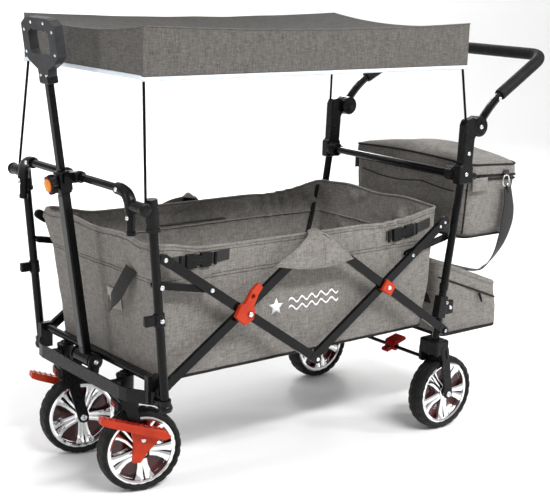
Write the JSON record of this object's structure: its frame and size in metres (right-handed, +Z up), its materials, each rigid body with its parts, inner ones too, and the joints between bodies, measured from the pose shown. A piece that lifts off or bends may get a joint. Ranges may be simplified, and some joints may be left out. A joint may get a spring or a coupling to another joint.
{
  "type": "kids pull wagon",
  "caption": "Folding kids pull wagon with scissor-frame sides, swivel front wheels, sliding pull handle, tilting push handle, fabric tub, canopy and rear bags.",
  "frame": {"origin": "middle of the overall footprint, on the floor the wheels stand on", "axes": "-X towards the pull handle (front), +X towards the push handle (rear), -Y the wagon's left side, +Z up"},
  "size_m": [1.3292, 0.562, 1.0157],
  "materials": {
    "brake_bar": "gloss black powder coat",
    "brake_pedal": "orange-red moulded plastic",
    "canopy": "grey melange woven polyester",
    "canopy_pole_front_left": "gloss black powder coat",
    "canopy_pole_front_right": "gloss black powder coat",
    "canopy_pole_rear_left": "gloss black powder coat",
    "canopy_pole_rear_right": "gloss black powder coat",
    "caster_fork_left": "charcoal moulded plastic",
    "caster_fork_right": "charcoal moulded plastic",
    "caster_lever_left": "orange-red moulded plastic",
    "caster_lever_right": "orange-red moulded plastic",
    "cooler_bag": "grey melange woven polyester",
    "fabric_tub": "grey melange woven polyester",
    "floor_mat": "black padded floor",
    "fold_latch_left": "orange-red moulded plastic",
    "fold_latch_right": "orange-red moulded plastic",
    "front_beam": "charcoal moulded plastic",
    "front_cross_tube": "gloss black powder coat",
    "front_post_cap_left": "charcoal moulded plastic",
    "front_post_cap_right": "charcoal moulded plastic",
    "front_post_left": "gloss black powder coat",
    "front_post_right": "gloss black powder coat",
    "front_rail": "gloss black powder coat",
    "handle_grip": "charcoal moulded plastic",
    "handle_knob": "charcoal moulded plastic",
    "handle_lower_tube": "gloss black powder coat",
    "handle_upper_tube": "gloss black powder coat",
    "link_front_left": "gloss black powder coat",
    "link_front_right": "gloss black powder coat",
    "link_rear_left": "gloss black powder coat",
    "link_rear_right": "gloss black powder coat",
    "push_handle_foam": "black closed-cell foam",
    "push_handle_tube": "gloss black powder coat",
    "rear_fork_left": "charcoal moulded plastic",
    "rear_fork_right": "charcoal moulded plastic",
    "rear_pocket": "grey melange woven polyester",
    "rear_post_bracket_left": "charcoal moulded plastic",
    "rear_post_bracket_right": "charcoal moulded plastic",
    "rear_post_left": "gloss black powder coat",
    "rear_post_right": "gloss black powder coat",
    "rear_rail": "gloss black powder coat",
    "rim_front_left": "bright plated",
    "rim_front_right": "bright plated",
    "rim_rear_left": "bright plated",
    "rim_rear_right": "bright plated",
    "scissor_front_inner_left": "gloss black powder coat",
    "scissor_front_inner_right": "gloss black powder coat",
    "scissor_front_outer_left": "gloss black powder coat",
    "scissor_front_outer_right": "gloss black powder coat",
    "scissor_rear_inner_left": "gloss black powder coat",
    "scissor_rear_inner_right": "gloss black powder coat",
    "scissor_rear_outer_left": "gloss black powder coat",
    "scissor_rear_outer_right": "gloss black powder coat",
    "tyre_front_left": "dark grey tread rubber",
    "tyre_front_right": "dark grey tread rubber",
    "tyre_rear_left": "dark grey tread rubber",
    "tyre_rear_right": "dark grey tread rubber"
  },
  "bodies": {
    "front_frame": {"front_post_left": "front_post_left", "front_post_right": "front_post_right", "front_post_cap_left": "front_post_cap_left", "front_post_cap_right": "front_post_cap_right", "canopy_pole_front_left": "canopy_pole_front_left", "canopy_pole_front_right": "canopy_pole_front_right", "front_beam": "front_beam", "front_cross_tube": "front_cross_tube", "canopy": "canopy", "fabric_tub": "fabric_tub", "floor_mat": "floor_mat"},
    "front_rail": {"front_rail": "front_rail"},
    "pull_handle": {"handle_lower_tube": "handle_lower_tube"},
    "handle_extension": {"handle_upper_tube": "handle_upper_tube", "handle_grip": "handle_grip"},
    "handle_knob": {"handle_knob": "handle_knob"},
    "scissor_front_inner": {"scissor_front_inner_left": "scissor_front_inner_left", "scissor_front_inner_right": "scissor_front_inner_right"},
    "scissor_front_outer": {"scissor_front_outer_left": "scissor_front_outer_left", "scissor_front_outer_right": "scissor_front_outer_right"},
    "scissor_rear_inner": {"scissor_rear_inner_left": "scissor_rear_inner_left", "scissor_rear_inner_right": "scissor_rear_inner_right"},
    "scissor_rear_outer": {"scissor_rear_outer_left": "scissor_rear_outer_left", "scissor_rear_outer_right": "scissor_rear_outer_right"},
    "link_front": {"link_front_left": "link_front_left", "link_front_right": "link_front_right"},
    "link_rear": {"link_rear_left": "link_rear_left", "link_rear_right": "link_rear_right"},
    "rear_frame": {"rear_post_left": "rear_post_left", "rear_post_right": "rear_post_right", "rear_post_bracket_left": "rear_post_bracket_left", "rear_post_bracket_right": "rear_post_bracket_right", "canopy_pole_rear_left": "canopy_pole_rear_left", "canopy_pole_rear_right": "canopy_pole_rear_right", "rear_fork_left": "rear_fork_left", "rear_fork_right": "rear_fork_right", "rear_rail": "rear_rail", "cooler_bag": "cooler_bag", "rear_pocket": "rear_pocket"},
    "parking_brake": {"brake_bar": "brake_bar", "brake_pedal": "brake_pedal"},
    "push_handle": {"push_handle_tube": "push_handle_tube", "push_handle_foam": "push_handle_foam"},
    "fold_latch_left": {"fold_latch_left": "fold_latch_left"},
    "caster_left": {"caster_fork_left": "caster_fork_left"},
    "caster_lever_left": {"caster_lever_left": "caster_lever_left"},
    "wheel_front_left": {"tyre_front_left": "tyre_front_left", "rim_front_left": "rim_front_left"},
    "wheel_rear_left": {"tyre_rear_left": "tyre_rear_left", "rim_rear_left": "rim_rear_left"},
    "fold_latch_right": {"fold_latch_right": "fold_latch_right"},
    "caster_right": {"caster_fork_right": "caster_fork_right"},
    "caster_lever_right": {"caster_lever_right": "caster_lever_right"},
    "wheel_front_right": {"tyre_front_right": "tyre_front_right", "rim_front_right": "rim_front_right"},
    "wheel_rear_right": {"tyre_rear_right": "tyre_rear_right", "rim_rear_right": "rim_rear_right"}
  },
  "joints": [
    {"name": "front_rail_fold", "type": "hinge", "parent": "front_frame", "child": "front_rail", "pos_m": [-0.5786, 0, 0.6575], "axis": [0, 1, 0], "range_deg": [0, 60]},
    {"name": "pull_handle_swing", "type": "hinge", "parent": "front_frame", "child": "pull_handle", "pos_m": [-0.5501, 0, 0.2735], "axis": [0, -1, 0], "range_deg": [0, 80]},
    {"name": "pull_handle_slide", "type": "slide", "parent": "pull_handle", "child": "handle_extension", "axis": [0.1392, 0, -0.9903], "range_m": [0, 0.185]},
    {"name": "handle_knob_turn", "type": "hinge", "parent": "pull_handle", "child": "handle_knob", "pos_m": [-0.61952, 0, 0.66971], "axis": [-0.9903, 0, -0.1392], "range_deg": [0, 180]},
    {"name": "frame_fold", "type": "hinge", "parent": "front_frame", "child": "scissor_front_inner", "pos_m": [-0.5176, 0, 0.2625], "axis": [0, -1, 0], "range_deg": [0, 45], "deforming": ["fabric_tub", "floor_mat", "canopy"]},
    {"name": "front_crossing", "type": "hinge", "parent": "scissor_front_inner", "child": "scissor_front_outer", "pos_m": [-0.31058, 0, 0.40319], "axis": [0, -1, 0], "range_deg": [-90, 0]},
    {"name": "lower_middle_pivot", "type": "hinge", "parent": "scissor_front_outer", "child": "scissor_rear_inner", "pos_m": [-0.10356, 0, 0.2625], "axis": [0, -1, 0], "range_deg": [0, 90]},
    {"name": "rear_crossing", "type": "hinge", "parent": "scissor_rear_inner", "child": "scissor_rear_outer", "pos_m": [0.10345, 0, 0.40319], "axis": [0, -1, 0], "range_deg": [-90, 0]},
    {"name": "rear_frame_pivot", "type": "hinge", "parent": "scissor_rear_outer", "child": "rear_frame", "pos_m": [0.31047, 0, 0.2625], "axis": [0, -1, 0], "range_deg": [0, 45]},
    {"name": "front_link_pivot", "type": "hinge", "parent": "front_frame", "child": "link_front", "pos_m": [-0.5336, 0, 0.4915], "axis": [0, -1, 0], "range_deg": [0, 83]},
    {"name": "rear_link_pivot", "type": "hinge", "parent": "rear_frame", "child": "link_rear", "pos_m": [0.3265, 0, 0.4915], "axis": [0, -1, 0], "range_deg": [-83, 0]},
    {"name": "push_handle_tilt", "type": "hinge", "parent": "rear_frame", "child": "push_handle", "pos_m": [0.4024, 0, 0.7625], "axis": [0, -1, 0], "range_deg": [-15, 50]},
    {"name": "brake_turn", "type": "hinge", "parent": "rear_frame", "child": "parking_brake", "pos_m": [0.2924, 0, 0.1845], "axis": [0, 1, 0], "range_deg": [0, 20]},
    {"name": "caster_swivel_left", "type": "hinge", "parent": "front_frame", "child": "caster_left", "pos_m": [-0.5296, -0.1285, 0.2145], "axis": [0, 0, 1], "continuous": true},
    {"name": "caster_lever_turn_left", "type": "hinge", "parent": "caster_left", "child": "caster_lever_left", "pos_m": [-0.50232, -0.1348, 0.1285], "axis": [-0.225, -0.9744, 0], "range_deg": [0, 14]},
    {"name": "front_wheel_spin_left", "type": "hinge", "parent": "caster_left", "child": "wheel_front_left", "pos_m": [-0.49745, -0.13592, 0.094], "axis": [0.225, 0.9744, 0], "continuous": true},
    {"name": "rear_wheel_spin_left", "type": "hinge", "parent": "rear_frame", "child": "wheel_rear_left", "pos_m": [0.3324, -0.24, 0.094], "axis": [0, 1, 0], "continuous": true},
    {"name": "fold_latch_release_left", "type": "hinge", "parent": "scissor_front_outer", "child": "fold_latch_left", "pos_m": [-0.31058, -0.272, 0.40319], "axis": [0, -1, 0], "range_deg": [0, 25]},
    {"name": "caster_swivel_right", "type": "hinge", "parent": "front_frame", "child": "caster_right", "pos_m": [-0.5296, 0.1285, 0.2145], "axis": [0, 0, 1], "continuous": true},
    {"name": "caster_lever_turn_right", "type": "hinge", "parent": "caster_right", "child": "caster_lever_right", "pos_m": [-0.50232, 0.1222, 0.1285], "axis": [-0.225, -0.9744, 0], "range_deg": [0, 14]},
    {"name": "front_wheel_spin_right", "type": "hinge", "parent": "caster_right", "child": "wheel_front_right", "pos_m": [-0.49745, 0.12108, 0.094], "axis": [0.225, 0.9744, 0], "continuous": true},
    {"name": "rear_wheel_spin_right", "type": "hinge", "parent": "rear_frame", "child": "wheel_rear_right", "pos_m": [0.3324, 0.24, 0.094], "axis": [0, 1, 0], "continuous": true},
    {"name": "fold_latch_release_right", "type": "hinge", "parent": "scissor_front_outer", "child": "fold_latch_right", "pos_m": [-0.31058, 0.272, 0.40319], "axis": [0, -1, 0], "range_deg": [0, 25]}
  ],
  "couplings": [
    {"joint": "front_crossing", "follows": "frame_fold", "ratio": -2},
    {"joint": "lower_middle_pivot", "follows": "frame_fold", "ratio": 2},
    {"joint": "rear_crossing", "follows": "frame_fold", "ratio": -2},
    {"joint": "rear_frame_pivot", "follows": "frame_fold", "ratio": 1},
    {"joint": "front_link_pivot", "follows": "frame_fold", "ratio": 1.838},
    {"joint": "rear_link_pivot", "follows": "frame_fold", "ratio": -1.838}
  ]
}
